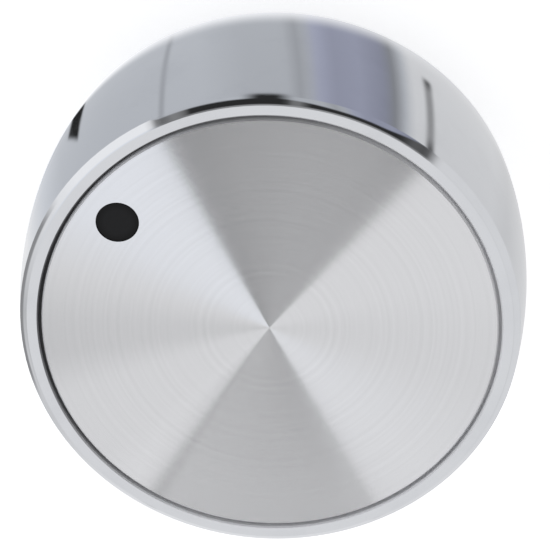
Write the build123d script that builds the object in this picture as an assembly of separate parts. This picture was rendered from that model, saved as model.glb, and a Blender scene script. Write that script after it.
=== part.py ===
from build123d import *
import math
import os

# Round push-on timer knob, in millimetres: a plated moulding with a spun aluminium face,
# a black index dot and a leaf spring that bears on the spindle's flat.
# Z runs along the spindle, up to the face. The origin is the centre of the back rim, which
# the knob rests on. The index dot and the spindle's flat both lie towards +Y.

# Body: wall, rim and face plate of the moulding
body_dia = 44.2  # at the front and back edges of the wall
wall_crown = 0.65  # swell of the wall between those edges
body_height = 19.3  # back rim to the flat of the front rim
front_bevel = 0.65
back_bevel = 0.4
skirt_wall = 1.8  # at the back rim; crown and draft thicken it further up
skirt_draft_deg = 0.75
skirt_lip_bevel = 0.4
corner_bevel = 0.8  # inside, where the skirt meets the plate
plate_thickness = 1.9

# Face disc, let into the front of the body
rim_width = 1.65
rim_lip_bevel = 0.12
disc_thickness = 0.8
disc_gap = 0.3  # the open groove round the disc
disc_sink = 0.05  # the disc's face lies this far below the rim
disc_edge_bevel = 0.12

# Index dot, a black fill in a dimple of the disc
dot_dia = 3.8
dot_inset = 3.55  # from the disc's edge to the middle of the dot
dot_depth = 0.3
dot_sink = 0.04
dot_clearance = 0.02
dot_edge_bevel = 0.06

# Hub and socket for a round spindle with one flat
spindle_dia = 6.0
spindle_flat = 4.6  # across the flat
socket_clearance = 0.05
flat_clearance = 0.05
socket_roof = 2.6  # solid left between the socket and the disc's seat
lead_in_length = 4.5  # wider round stretch of the socket, before the flat starts
lead_in_clearance = 0.4
mouth_bevel = 0.5
hub_wall = 2.4  # round the lead-in, at the hub's end
hub_draft_deg = 0.75
hub_set_back = 2.0  # the hub ends this far inside the back rim
hub_edge_bevel = 0.4
hub_root_bevel = 0.8

# Ribs between hub and skirt
rib_count = 6
first_rib_deg = 90  # one rib backs the spring's slot
rib_thickness = 1.2  # at its root in the plate
rib_draft_deg = 0.5
rib_hub_rise = 2.5  # free edge of a rib above the hub's end, at the hub
rib_skirt_rise = 7.0  # free edge of a rib above the back rim, at the skirt
rib_sink_share = 0.5  # of the walls that a rib runs into

# Leaf spring in a slot behind the socket's flat
spring_thickness = 0.4
spring_width = 2.6
spring_bow = 1.0  # crest above the feet
spring_foot_share = 0.16  # of the leaf's length, for each flat foot
spring_crest_share = 0.65  # of the bends' radii taken together, for the crest's
spring_end_gap = 0.3
slot_clearance = 0.1

cut_overrun = 1.0

# Places that follow from the sizes above
body_r = body_dia / 2
recess_r = body_r - rim_width
disc_r = recess_r - disc_gap
disc_face_z = body_height - disc_sink
disc_seat_z = disc_face_z - disc_thickness
plate_back_z = disc_seat_z - plate_thickness
skirt_back_r = body_r - skirt_wall
dot_r = dot_dia / 2
dot_pitch_r = disc_r - dot_inset
dot_floor_z = disc_face_z - dot_depth
socket_r = spindle_dia / 2 + socket_clearance
flat_y = spindle_flat - spindle_dia / 2 + flat_clearance
flat_start_z = hub_set_back + lead_in_length
socket_top_z = disc_seat_z - socket_roof
lead_in_r = spindle_dia / 2 + lead_in_clearance
hub_end_r = lead_in_r + hub_wall
slot_back_y = flat_y + spring_bow + spring_thickness


def turned(*corners):
    """Solid of revolution about Z from straight-sided (radius, height) corners."""
    return revolve(Plane.XZ * make_face(Polyline(*corners, close=True)), Axis.Z)


def skirt_r(z):
    """Inner radius of the drafted skirt at height z."""
    return skirt_back_r - z * math.tan(math.radians(skirt_draft_deg))


def hub_r(z):
    """Outer radius of the drafted hub at height z."""
    return hub_end_r + (z - hub_set_back) * math.tan(math.radians(hub_draft_deg))


def shell():
    """Skirt, rim, face plate and hub, turned as one section whose outer side is a shallow arc."""
    hub_edge_z = hub_set_back + hub_edge_bevel
    hub_root_z = plate_back_z - hub_root_bevel
    corner_z = plate_back_z - corner_bevel
    back_edge = (body_r, back_bevel)
    shoulder = (body_r, body_height - front_bevel)
    inner_side = Polyline(
        shoulder,
        (body_r - front_bevel, body_height),
        (recess_r + rim_lip_bevel, body_height),
        (recess_r, body_height - rim_lip_bevel),
        (recess_r, disc_seat_z),
        (0, disc_seat_z),
        (0, hub_set_back),
        (hub_end_r - hub_edge_bevel, hub_set_back),
        (hub_r(hub_edge_z), hub_edge_z),
        (hub_r(hub_root_z), hub_root_z),
        (hub_r(hub_root_z) + hub_root_bevel, plate_back_z),
        (skirt_r(corner_z) - corner_bevel, plate_back_z),
        (skirt_r(corner_z), corner_z),
        (skirt_r(skirt_lip_bevel), skirt_lip_bevel),
        (skirt_back_r + skirt_lip_bevel, 0),
        (body_r - back_bevel, 0),
        back_edge,
    )
    wall = SagittaArc(back_edge, shoulder, -wall_crown)
    return revolve(Plane.XZ * make_face([*inner_side.edges(), wall]), Axis.Z)


def ribs():
    """Drafted radial ribs whose free edges lie on one shallow cone, lower at the hub."""
    inner_r = hub_end_r - hub_wall * rib_sink_share
    outer_r = body_r - skirt_wall * rib_sink_share
    root_z = plate_back_z + plate_thickness * rib_sink_share
    plan = Pos(0, 0, root_z) * Rectangle(body_r, rib_thickness, align=(Align.MIN, Align.CENTER))
    blade = extrude(plan, amount=root_z, dir=(0, 0, -1), taper=rib_draft_deg)
    room = turned(
        (inner_r, hub_set_back + rib_hub_rise),
        (outer_r, rib_skirt_rise),
        (outer_r, root_z),
        (inner_r, root_z),
    )
    rib = blade & room
    step_deg = 360 / rib_count
    return [Rot(0, 0, first_rib_deg + step_deg * i) * rib for i in range(rib_count)]


def socket():
    """Room for the spindle and its spring: round lead-in, D section and the slot behind the flat."""
    mouth_z = hub_set_back - cut_overrun
    lead_in = turned(
        (0, mouth_z),
        (lead_in_r + mouth_bevel + cut_overrun, mouth_z),
        (lead_in_r, hub_set_back + mouth_bevel),
        (lead_in_r, flat_start_z),
        (0, flat_start_z),
    )
    beyond_flat = Pos(0, flat_y) * Rectangle(spindle_dia, spindle_dia, align=(Align.CENTER, Align.MIN))
    slot_width = spring_width + 2 * slot_clearance
    slot = Rectangle(slot_width, slot_back_y, align=(Align.CENTER, Align.MIN))
    section = Circle(socket_r) - beyond_flat + slot
    return lead_in + extrude(Pos(0, 0, flat_start_z) * section, amount=socket_top_z - flat_start_z)


def knob_body():
    """The moulding: shell and ribs in one, with the socket cored out of the hub."""
    return shell() + ribs() - socket()


def face_disc():
    """Thin disc with a bevelled front edge and a dimple for the dot."""
    blank = turned(
        (0, disc_seat_z),
        (disc_r, disc_seat_z),
        (disc_r, disc_face_z - disc_edge_bevel),
        (disc_r - disc_edge_bevel, disc_face_z),
        (0, disc_face_z),
    )
    dimple = extrude(Pos(0, dot_pitch_r, dot_floor_z) * Circle(dot_r), amount=dot_depth + cut_overrun)
    return blank - dimple


def index_dot():
    """Black fill on the floor of the dimple, a little below the face."""
    fill_r = dot_r - dot_clearance
    fill_z = disc_face_z - dot_sink
    fill = turned(
        (0, dot_floor_z),
        (fill_r, dot_floor_z),
        (fill_r, fill_z - dot_edge_bevel),
        (fill_r - dot_edge_bevel, fill_z),
        (0, fill_z),
    )
    return Pos(0, dot_pitch_r, 0) * fill


def shaft_spring():
    """Bent strip: two flat feet on the slot's back wall, and a crest in line with the socket's flat."""
    start_z = flat_start_z + spring_end_gap
    end_z = socket_top_z - spring_end_gap
    foot = (end_z - start_z) * spring_foot_share
    half_run = (end_z - start_z) / 2 - foot
    slope = 2 * math.atan2(spring_bow, half_run)
    bends = half_run / math.sin(slope)
    crest_bend = bends * spring_crest_share
    foot_bend = bends - crest_bend
    turn_deg = math.degrees(slope)
    near_foot = Line((slot_back_y, start_z), (slot_back_y, start_z + foot))
    rise = JernArc(near_foot @ 1, near_foot % 1, foot_bend, turn_deg)
    crest = JernArc(rise @ 1, rise % 1, crest_bend, -2 * turn_deg)
    fall = JernArc(crest @ 1, crest % 1, foot_bend, turn_deg)
    far_foot = Line(fall @ 1, (slot_back_y, end_z))
    outer_face = Wire([near_foot, rise, crest, fall, far_foot])
    strip = make_face(offset(outer_face, amount=spring_thickness, side=Side.LEFT))
    return extrude(Plane.YZ * strip, amount=spring_width / 2, both=True)


nodes = {
    "knob_body": knob_body(),
    "face_disc": face_disc(),
    "index_dot": index_dot(),
    "shaft_spring": shaft_spring(),
}

os.makedirs("parts", exist_ok=True)
for name, solid in nodes.items():
    export_step(solid, f"parts/{name}.step")
    print(f"{name}: {solid.volume:.2f} mm3")
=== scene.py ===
import math

import bmesh
import bpy
from mathutils import Matrix, Vector


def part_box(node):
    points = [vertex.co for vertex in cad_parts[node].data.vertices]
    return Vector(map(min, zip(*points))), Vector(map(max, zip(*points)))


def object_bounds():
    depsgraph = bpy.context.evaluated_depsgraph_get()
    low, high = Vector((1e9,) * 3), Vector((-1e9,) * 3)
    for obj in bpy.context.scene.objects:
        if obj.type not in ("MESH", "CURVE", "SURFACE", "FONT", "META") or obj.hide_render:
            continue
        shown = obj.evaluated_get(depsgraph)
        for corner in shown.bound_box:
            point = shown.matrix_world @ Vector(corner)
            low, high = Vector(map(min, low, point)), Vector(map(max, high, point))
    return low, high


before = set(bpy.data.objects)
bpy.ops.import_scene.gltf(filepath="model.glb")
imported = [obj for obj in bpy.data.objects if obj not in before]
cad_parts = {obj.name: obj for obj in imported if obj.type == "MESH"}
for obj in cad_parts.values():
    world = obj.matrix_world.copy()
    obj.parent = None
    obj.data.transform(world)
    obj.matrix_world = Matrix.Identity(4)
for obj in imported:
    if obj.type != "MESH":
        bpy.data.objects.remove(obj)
cad_low, cad_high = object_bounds()


# Knob body: one ABS moulding with wall, rim, hub, socket and ribs, plated bright all over.
# Its outside is polished to a mirror, with the front edge rolled over by the polishing wheel.
# It stays dull inside the skirt and pale in the groove, with painted shade darkening the groove on the
# dot's side.
MM = 0.001
body_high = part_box("knob_body")[1]
disc_low, disc_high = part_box("face_disc")
rim_height = body_high.z
wall_crown = 0.65 * MM
edge_radius = body_high.x - wall_crown
edge_bevel = 0.65 * MM
edge_roll = 0.12
back_bevel = 0.4 * MM
groove_width = 0.3 * MM
lip_bevel = 0.12 * MM
lip_radius = disc_high.x + groove_width + lip_bevel
seat_height = disc_low.z
polish_end = 21.85 * MM
polish_fade = 0.3 * MM
mask_edge = 0.02 * MM
wall_tilt = (0.3, 0.5)
edge_tilt = (0.4, 0.6)
rim_tilt = (0.8, 0.95)
plating_colour = (0.74, 0.75, 0.77, 1)
smudged_colour = (0.71, 0.72, 0.742, 1)
inside_colour = (0.50, 0.505, 0.515, 1)
groove_colour = (0.92, 0.92, 0.93, 1)
groove_metal = 0.1
groove_shade_colour = (0.12, 0.12, 0.125, 1)
groove_shade_side = (-0.14, 0.99, 0)
groove_shade_range = (-0.2, 1.0)
polished_roughness = 0.05
dull_roughness = 0.45
smudge_scale = 160
smudge_range = (0.45, 0.75)
smudge_roughness = 0.04
ripple_scale = 300
ripple_strength = 0.05
ripple_depth = 0.02 * MM


class Wire:
    """A shader socket: arithmetic on it adds Math nodes, and node() adds any other node to its tree."""

    def __init__(self, tree, socket=None):
        self.tree = tree
        self.socket = socket

    def node(self, kind, settings, inputs, output=0):
        made = self.tree.nodes.new("ShaderNode" + kind)
        for name, value in settings.items():
            if name == "stops":
                ramp = made.color_ramp.elements
                while len(ramp) < len(value):
                    ramp.new(1)
                for stop, (place, colour) in zip(ramp, value):
                    stop.position = place
                    stop.color = colour
            else:
                setattr(made, name, value)
        for name, value in inputs.items():
            if isinstance(value, Wire):
                self.tree.links.new(value.socket, made.inputs[name])
            else:
                made.inputs[name].default_value = value
        return Wire(self.tree, made.outputs[output]) if made.outputs else None

    def math(self, operation, *values):
        return self.node("Math", {"operation": operation}, dict(enumerate(values)))

    def vector(self, operation, *values, output=0):
        return self.node("VectorMath", {"operation": operation}, dict(enumerate(values)), output)

    def plus(self, other):
        """This vector and another added."""
        return self.vector("ADD", self, other)

    def scaled(self, factor):
        """This vector times a number or a wire."""
        return self.node("VectorMath", {"operation": "SCALE"}, {0: self, "Scale": factor})

    def part(self, axis):
        """One coordinate of this vector."""
        return self.node("SeparateXYZ", {}, {"Vector": self}, axis)

    def blend(self, low, high):
        """Colour that goes from low to high as this value goes from 0 to 1."""
        return self.node("Mix", {"data_type": "RGBA"}, {0: self, 6: low, 7: high}, 2)

    def swing(self, low, high):
        """Vector that goes from low to high as this value goes from 0 to 1."""
        return self.node("Mix", {"data_type": "VECTOR"}, {0: self, 4: low, 5: high}, 1)

    def step(self, low, high):
        """Smooth step from 0 at low to 1 at high."""
        limits = {"Value": self, "From Min": low, "From Max": high}
        return self.node("MapRange", {"interpolation_type": "SMOOTHSTEP"}, limits)

    def __add__(self, other):
        return self.math("ADD", self, other)

    def __sub__(self, other):
        return self.math("SUBTRACT", self, other)

    def __rsub__(self, other):
        return self.math("SUBTRACT", other, self)

    def __mul__(self, other):
        return self.math("MULTIPLY", self, other)

    __radd__ = __add__
    __rmul__ = __mul__


def new_material(name):
    """Empty node material, with a wire to start from and its Object coordinates."""
    material = bpy.data.materials.new(name)
    material.use_nodes = True
    material.node_tree.nodes.clear()
    start = Wire(material.node_tree)
    return material, start, start.node("TexCoord", {}, {}, "Object")


def from_axis(place):
    """Direction away from the Z axis at a place, and the distance from that axis."""
    flat = place.vector("MULTIPLY", place, (1, 1, 0))
    return place.vector("NORMALIZE", flat), place.vector("LENGTH", flat, output="Value")


def finish_material(start, **sockets):
    """Principled shader with those sockets, joined to the material's output."""
    inputs = {name.replace("_", " "): value for name, value in sockets.items()}
    start.node("OutputMaterial", {}, {"Surface": start.node("BsdfPrincipled", {}, inputs)})


plating, start, place = new_material("bright_plating")
height = place.part("Z")
outward, radius = from_axis(place)
surface = start.node("NewGeometry", {}, {}, "Normal")
facing = surface.part("Z")
above_seat = height.step(seat_height - 2 * mask_edge, seat_height - mask_edge)
inside = (1 - above_seat) * (1 - radius.step(polish_end - polish_fade, polish_end))
groove = above_seat * (1 - radius.step(lip_radius - mask_edge, lip_radius + mask_edge))
smudge_noise = {"Vector": place, "Scale": smudge_scale, "Detail": 5, "Roughness": 0.6}
smudge = start.node("TexNoise", {}, smudge_noise).step(*smudge_range)
# Painted shade: the groove turns dark on the dot's side.
groove_shade = start.vector("DOT_PRODUCT", outward, groove_shade_side, output="Value").step(*groove_shade_range)
look = inside.blend(smudge.blend(plating_colour, smudged_colour), inside_colour)
look = groove.blend(look, groove_shade.blend(groove_colour, groove_shade_colour))

# The polished wall faces along the arc of its crown, and the front edge turns over between rim and wall.
half_wall = (rim_height - edge_bevel - back_bevel) / 2
crown_radius = (half_wall ** 2 + wall_crown ** 2) / (2 * wall_crown)
wall_lean = (height - (back_bevel + half_wall)) * (1 / crown_radius)
wall_facing = outward.plus(start.node("CombineXYZ", {}, {"Z": wall_lean}))
edge_start = edge_radius - edge_bevel
edge_out = 0.5 + ((radius - edge_start) * (1 / edge_bevel) - 0.5) * edge_roll
edge_facing = outward.scaled(edge_out).plus(start.node("CombineXYZ", {}, {"Z": 1 - edge_out}))
on_wall = radius.step(edge_start, edge_radius) * (1 - start.math("ABSOLUTE", facing).step(*wall_tilt))
on_edge = radius.step(lip_radius, edge_start) * facing.step(*edge_tilt) * (1 - facing.step(*rim_tilt))
true_facing = on_wall.swing(on_edge.swing(surface, edge_facing), wall_facing)
ripple = start.node("TexNoise", {}, {"Vector": place, "Scale": ripple_scale, "Detail": 1})
finish_material(
    start,
    Base_Color=look,
    Metallic=1 - groove * (1 - groove_metal),
    Roughness=polished_roughness + smudge * smudge_roughness + (inside + groove) * dull_roughness,
    Normal=start.node("Bump", {}, {
        "Strength": ripple_strength,
        "Distance": ripple_depth,
        "Height": ripple,
        "Normal": start.vector("NORMALIZE", true_facing),
    }),
)
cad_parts["knob_body"].data.materials[0] = plating


# Shaft spring: a leaf bent from rolled spring steel strip, laid in the slot behind the flat.
# It shows only from below; the rolling leaves fine lines along its length.
strip_colour = (0.44, 0.44, 0.45, 1)
bright_line_colour = (0.58, 0.58, 0.59, 1)
strip_roughness = 0.2
line_roughness = 0.15
line_scale = (9000, 9000, 300)
strip, start, place = new_material("spring_steel")
along = start.node("Mapping", {}, {"Vector": place, "Scale": line_scale})
lines = start.node("TexNoise", {}, {"Vector": along, "Scale": 1.0, "Detail": 2})
finish_material(
    start,
    Base_Color=lines.blend(strip_colour, bright_line_colour),
    Metallic=1.0,
    Roughness=strip_roughness + lines * line_roughness,
)
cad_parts["shaft_spring"].data.materials[0] = strip


# Face disc: thin aluminium blank, spun against an abrasive so that fine rings run about its centre.
# It is bonded into the recess behind the rim, with a narrow open groove all round.
# Its cut edge has a narrow bevel, pale and dull beside the spun face.
disc_radius = disc_high.x
disc_colour = (0.84, 0.84, 0.85, 1)
ring_colour = (0.78, 0.78, 0.79, 1)
ring_scale = 2500
ring_pitch = 0.02 * MM
ring_slope = 0.6
centre_lean = 0.10
outer_lean = 0.12
face_tilt = (0.9, 0.99)
spun_roughness = 0.17
cut_edge_colour = (0.86, 0.86, 0.87, 1)
cut_edge_width = 0.12 * MM
cut_edge_roughness = 0.75
spun, start, place = new_material("spun_aluminium")
outward, radius = from_axis(place)
surface = start.node("NewGeometry", {}, {}, "Normal")
on_face = surface.part("Z").step(*face_tilt)
cut_start = disc_radius - cut_edge_width
cut_edge = radius.step(cut_start - mask_edge, cut_start + mask_edge / 2)
ring_noise = {"W": radius, "Scale": ring_scale, "Detail": 4}
rings = start.node("TexNoise", {"noise_dimensions": "1D"}, ring_noise)
look = rings.blend(ring_colour, disc_colour)
flank = start.math("FRACT", radius * (1 / ring_pitch)) - 0.5
share = radius * (1 / disc_radius)
lean = flank * ring_slope + centre_lean + share * share * outer_lean
finish_material(
    start,
    Base_Color=cut_edge.blend(look, cut_edge_colour),
    Metallic=1.0,
    Roughness=spun_roughness + cut_edge * (cut_edge_roughness - spun_roughness),
    Anisotropic=1.0,
    Anisotropic_Rotation=0.25,
    Normal=start.vector("NORMALIZE", surface.plus(outward.scaled(lean * on_face))),
)
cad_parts["face_disc"].data.materials[0] = spun


# Index dot: black paint filled into a dimple of the disc, dried a little below the face.
# It is matt and faintly uneven, with painted shade that darkens it towards its edge.
dot_low, dot_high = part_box("index_dot")
dot_middle = (dot_low + dot_high) / 2
dot_radius = (dot_high.x - dot_low.x) / 2
fill_shade_start = dot_radius * 0.55
fill_colour = (0.008, 0.008, 0.009, 1)
worn_colour = (0.016, 0.016, 0.017, 1)
fill_shade_colour = (0.003, 0.003, 0.003, 1)
fill_roughness = 0.45
fill_gloss = 0.25
grain_scale = 2500
grain_roughness = 0.2
grain_strength = 0.2
grain_depth = 0.02 * MM
fill, start, place = new_material("black_fill")
grain = start.node("TexNoise", {}, {"Vector": place, "Scale": grain_scale, "Detail": 3})
from_middle = from_axis(place.vector("SUBTRACT", place, tuple(dot_middle)))[1]
# Painted shade: the fill darkens towards its edge.
fill_shade = from_middle.step(fill_shade_start, dot_radius)
grain_bump = {"Strength": grain_strength, "Distance": grain_depth, "Height": grain}
finish_material(
    start,
    Base_Color=fill_shade.blend(grain.blend(fill_colour, worn_colour), fill_shade_colour),
    Roughness=fill_roughness + grain * grain_roughness,
    Specular_IOR_Level=fill_gloss,
    Normal=start.node("Bump", {}, grain_bump),
)
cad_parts["index_dot"].data.materials[0] = fill


# Camera: above the knob, with the dot to its left, turned over so that the near wall is at the top.
# Its long lens is aimed at the face a little to the near side of the axis.
camera_bearing = math.radians(31.825)
camera_elevation = math.radians(62.266)
camera_distance = 304.65 * MM
camera_pivot = Vector((0, 0, 14.217 * MM))
camera_lens = 223.21
camera_roll = math.radians(186.04)
aim_offset = 5.253 * MM
near_side = Vector((math.cos(camera_bearing), math.sin(camera_bearing), 0))
left_side = Vector((-near_side.y, near_side.x, 0))
to_camera = near_side * math.cos(camera_elevation) + Vector((0, 0, math.sin(camera_elevation)))
camera = bpy.data.objects.new("camera", bpy.data.cameras.new("camera"))
camera.data.lens = camera_lens
camera.location = camera_pivot + to_camera * camera_distance
aim = near_side * aim_offset + Vector((0, 0, disc_high.z)) - camera.location
camera.matrix_world = (
    Matrix.Translation(camera.location)
    @ aim.to_track_quat("-Z", "Y").to_matrix().to_4x4()
    @ Matrix.Rotation(camera_roll, 4, "Z")
)
bpy.context.scene.collection.objects.link(camera)
bpy.context.scene.camera = camera


# Floor: a plain pale sheet that the knob stands on. It is left out of the plating's mirror images,
# and seen from below it is clear and lets the light through, so that the hollow back can be looked at.
floor_radius = 3.0
floor_segments = 96
paper_colour = (0.9, 0.9, 0.9, 1)
paper_roughness = 0.9
paper_glow = 0.59
floor_mesh = bmesh.new()
bmesh.ops.create_circle(floor_mesh, cap_ends=True, segments=floor_segments, radius=floor_radius)
floor_data = bpy.data.meshes.new("floor")
floor_mesh.to_mesh(floor_data)
floor_mesh.free()
floor = bpy.data.objects.new("floor", floor_data)
floor.location.z = cad_low.z
floor.visible_glossy = False
floor.visible_shadow = False
bpy.context.scene.collection.objects.link(floor)
paper, start = new_material("pale_paper")[:2]
sheet = start.node("BsdfPrincipled", {}, {
    "Base Color": paper_colour,
    "Roughness": paper_roughness,
    "Specular IOR Level": 0.0,
    "Emission Color": (1, 1, 1, 1),
    "Emission Strength": paper_glow,
})
below = start.node("NewGeometry", {}, {}, "Backfacing")
clear = start.node("BsdfTransparent", {}, {})
one_sided = start.node("MixShader", {}, {0: below, 1: sheet, 2: clear})
start.node("OutputMaterial", {}, {"Surface": one_sided})
floor_data.materials.append(paper)


# Studio light: soft white panels all round, with dark gaps behind the camera and across from it.
# Each direction is set by the facing that would mirror it to the camera: its turn about the axis,
# in degrees from the left side, and its lift, 1 for the face and 0 for the wall.
neutral = (1, 1.005, 1.02)
bluish = (1, 1.035, 1.10)
lavender = (1, 1.045, 1.31)
backdrop_colour = (0.95, 0.95, 0.95, 1)
world = bpy.data.worlds.new("studio")
world.use_nodes = True
world.node_tree.nodes.clear()
start = Wire(world.node_tree)
ray = start.node("TexCoord", {}, {}, "Generated")
mirror = start.vector("NORMALIZE", ray.plus(tuple(to_camera)))
lift = mirror.part("Z")
across = start.vector("DOT_PRODUCT", mirror, tuple(left_side), output="Value")
away = start.vector("DOT_PRODUCT", mirror, tuple(-near_side), output="Value")
turn = start.math("ARCTAN2", away, across) * (180 / math.pi)


def tone(brightness, tint=neutral):
    """Light of that brightness and tint, as a colour."""
    return (*(brightness * channel for channel in tint), 1)


def around(*panels, angle=turn):
    """Light that changes with an angle, from degrees, a brightness and any tint at each place."""
    stops = [(degrees / 360 + 0.5, tone(*light)) for degrees, *light in panels]
    return start.node("ValToRGB", {"stops": stops}, {"Fac": angle * (1 / 360) + 0.5})


def sector(middle, half_width, softness):
    """One inside the sector of that middle angle, in degrees, and none outside it."""
    return 1 - start.math("ABSOLUTE", turn - middle).step(half_width - softness, half_width + softness)


# What the face mirrors: two dark gaps, with a bluish panel to the left of the near one and a low panel
# in the far one.
far_panel_top = (0.91, 0.985)
face_light = around(
    (-180, 0.76), (-165, 0.80), (-127, 0.80),
    (-123.5, 0.27), (-113, 0.37), (-95, 0.38), (-75, 0.33), (-58.3, 0.23),
    (-55.5, 0.90, bluish), (-40, 0.91, bluish), (-26, 0.88, bluish), (-10, 0.77),
    (5, 0.62), (15, 0.60), (26, 0.77), (48, 0.79), (56, 0.90), (61, 0.90),
    (64.5, 0.385), (80, 0.38), (121.5, 0.26),
    (124.5, 0.83), (140, 0.83), (170, 0.75), (180, 0.76),
)
far_panel = sector(middle=94, half_width=28, softness=2) * (1 - lift.step(*far_panel_top))
face_light = far_panel.blend(face_light, tone(0.95))

# What the front edge mirrors: the near gap at its darkest, with a break in it, and a shade on the left.
shade_top = (0.655, 0.69)
edge_light = around(
    (-180, 0.84), (-127, 0.82), (-123.5, 0.08), (-120, 0.13), (-116, 0.03),
    (-93.5, 0.03), (-91.8, 0.22), (-89.8, 0.20), (-88.3, 0.03),
    (-65.8, 0.03), (-64.2, 0.24), (-61.5, 0.28), (-59.5, 0.15), (-57.8, 0.22),
    (-55.8, 1.05), (-34, 1.05), (-12, 0.80), (3, 0.60), (14, 0.72), (35, 0.74), (55, 0.90), (180, 0.84),
)
edge_shade = sector(middle=0, half_width=23, softness=5) * (1 - lift.step(*shade_top))
edge_light = edge_shade.blend(edge_light, tone(0.33))

# What the wall mirrors: a bluish panel on the near side, a lavender one to the right of it with a dark
# side, white beyond, and the bright floor along the wall's base. The panels lean a little.
panel_lean = 15
base_sides = (-140, -70)
base_top = (-0.20, -0.123)
leaning_turn = turn + lift * panel_lean
wall_light = around(
    (-180, 0.74), (-160, 0.71), (-151, 0.67), (-144, 0.735), (-117.6, 0.75),
    (-115.4, 0.54, bluish), (-112.7, 0.27, bluish),
    (-110, 0.30, lavender), (-104, 0.37, lavender), (-98, 0.35, lavender), (-94.5, 0.43, lavender),
    (-92, 0.48, bluish), (-90, 0.41, bluish), (-87, 0.52, bluish), (-78, 0.52, bluish),
    (-68, 0.58, bluish), (-45, 0.57, bluish), (-28, 0.59, bluish), (-20, 0.68, bluish),
    (-8, 0.88), (7, 0.85), (180, 0.74),
    angle=leaning_turn,
)
panel_seam = sector(middle=-59.2, half_width=0.65, softness=0.6)
wall_light = panel_seam.blend(wall_light, tone(0.43, bluish))
base_light = turn.step(*base_sides).blend(tone(0.79), tone(1.17))
wall_light = lift.step(*base_top).blend(base_light, wall_light)

# The near gap's lower edge hangs a little into the wall at one place.
foot_bottom = (0.1025, 0.109)
gap_foot = sector(middle=-84, half_width=4.2, softness=2.6) * lift.step(*foot_bottom)
wall_light = gap_foot.blend(wall_light, tone(0.03))

# A small black flag low on the left, cut off aslant at its top.
flag_bottom = (-0.165, -0.145)
flag_top = (0.0, 0.03)
flag_corner = -35
flag_slant = 0.013
flag = sector(middle=-32.6, half_width=2.2, softness=0.6) * lift.step(*flag_bottom)
flag = flag * (1 - (lift + (turn - flag_corner) * flag_slant).step(*flag_top))
wall_light = flag.blend(wall_light, tone(0.02))

# A thin grey stand on the right, darker at both ends.
stand_turn = -122.1
stand_sides = (0.2, 1.9)
stand_bottom = (-0.1, -0.08)
stand_top = (0.15, 0.2)
stand_middle = 0.015
stand_ends = (0.06, 0.1)
stand = 1 - start.math("ABSOLUTE", leaning_turn - stand_turn).step(*stand_sides)
stand = stand * lift.step(*stand_bottom) * (1 - lift.step(*stand_top))
stand_end = start.math("ABSOLUTE", lift - stand_middle).step(*stand_ends)
wall_light = stand.blend(wall_light, stand_end.blend(tone(0.34), tone(0.10)))

# The three pictures meet where the facing goes over from wall to edge to face.
# The edge's picture reaches lower left of the near gap's middle, and lower still past the gap's ends.
# The flat rim mirrors one even panel.
edge_start_lift = (0.675, 0.705)
face_start_lift = (0.735, 0.757)
rim_start_lift = (0.9975, 0.9988)
gap_middle = (-102, -84)
gap_left_end = (-59, -54)
gap_right_end = (-124, -111)
middle_reach = 0.045
end_reach = 0.1
edge_lift = lift + turn.step(*gap_middle) * middle_reach + turn.step(*gap_left_end) * end_reach
edge_lift = edge_lift + (1 - turn.step(*gap_right_end)) * end_reach
studio = edge_lift.step(*edge_start_lift).blend(wall_light, edge_light)
studio = lift.step(*face_start_lift).blend(studio, face_light)
studio = lift.step(*rim_start_lift).blend(studio, tone(0.86))
seen = start.node("LightPath", {}, {}, "Is Camera Ray")
studio = seen.blend(studio, backdrop_colour)
backing = start.node("Background", {}, {"Color": studio, "Strength": 1.0})
start.node("OutputWorld", {}, {"Surface": backing})
bpy.context.scene.world = world
bpy.context.scene.view_settings.view_transform = "Standard"
